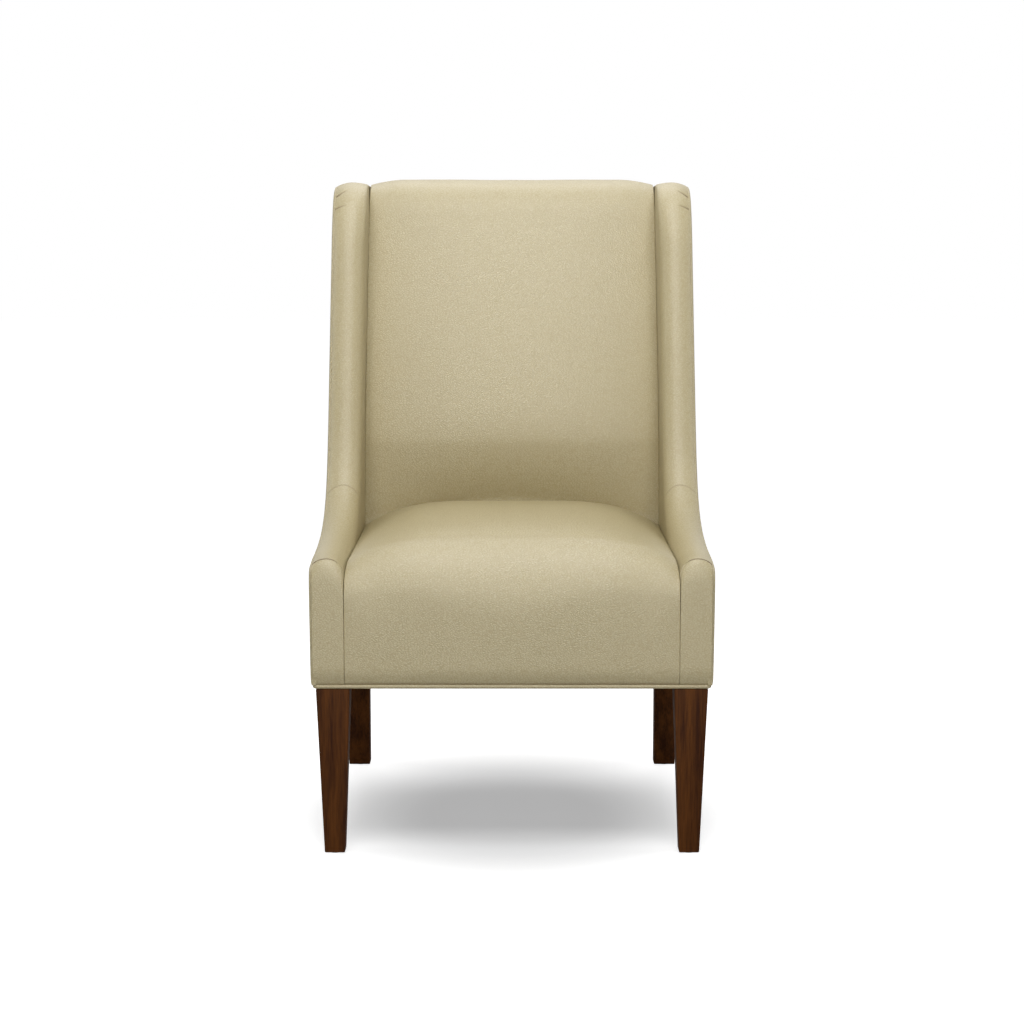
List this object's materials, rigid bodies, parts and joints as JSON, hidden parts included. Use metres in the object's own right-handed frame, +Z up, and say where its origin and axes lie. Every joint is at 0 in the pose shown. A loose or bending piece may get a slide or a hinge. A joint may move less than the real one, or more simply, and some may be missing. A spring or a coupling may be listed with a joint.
{
  "type": "upholstered dining chair",
  "caption": "Leather upholstered dining chair with a crowned seat, a tall crowned back, padded wings that swoop down into low front arms, and tapered wooden legs.",
  "frame": {"origin": "centre of the chair's bounding box on the floor", "axes": "+Z up from the floor, +Y from the front of the chair to its back, +X to the right as the picture shows it"},
  "size_m": [0.622, 0.6832, 1.05],
  "materials": {
    "leather": "pebbled full-grain leather, semi-matt, cream khaki",
    "walnut": "dark walnut with a satin lacquer",
    "beech": "planed beech, unfinished",
    "plywood": "sawn plywood, unfinished",
    "foam": "polyurethane foam",
    "batting": "polyester batting",
    "steel": "zinc plated steel",
    "webbing": "woven webbing and deck cloth",
    "cambric": "black nonwoven dust cloth",
    "nylon": "moulded nylon"
  },
  "bodies": {
    "root": {"front_rail": "beech", "rear_rail": "beech", "side_rail_left": "beech", "side_rail_right": "beech", "wing_panel_left": "plywood", "wing_panel_right": "plywood", "back_post_left": "beech", "back_post_right": "beech", "top_rail": "beech", "lower_back_rail": "beech", "front_leg_blocks": "beech", "rear_leg_blocks": "beech", "rail_dowels": "beech", "block_screws": "steel", "seat_springs": "steel", "spring_clips": "steel", "deck_cloth": "webbing", "back_straps_upright": "webbing", "back_straps_cross": "webbing", "seat_foam": "foam", "back_foam": "foam", "wing_foam_left": "foam", "wing_foam_right": "foam", "arm_front_pad_left": "foam", "arm_front_pad_right": "foam", "side_padding_left": "batting", "side_padding_right": "batting", "outside_back_padding": "batting", "seat_cover": "leather", "inside_back_cover": "leather", "wing_cover_left": "leather", "wing_cover_right": "leather", "arm_front_panel_left": "leather", "arm_front_panel_right": "leather", "outside_panel_left": "leather", "outside_panel_right": "leather", "outside_back_panel": "leather", "welt_front": "leather", "welt_rear": "leather", "welt_left": "leather", "welt_right": "leather", "dust_cover": "cambric", "leg_front_left": "walnut", "leg_front_right": "walnut", "leg_rear_left": "walnut", "leg_rear_right": "walnut", "hanger_bolts": "steel", "tee_nuts": "steel", "glides": "nylon"}
  },
  "joints": []
}
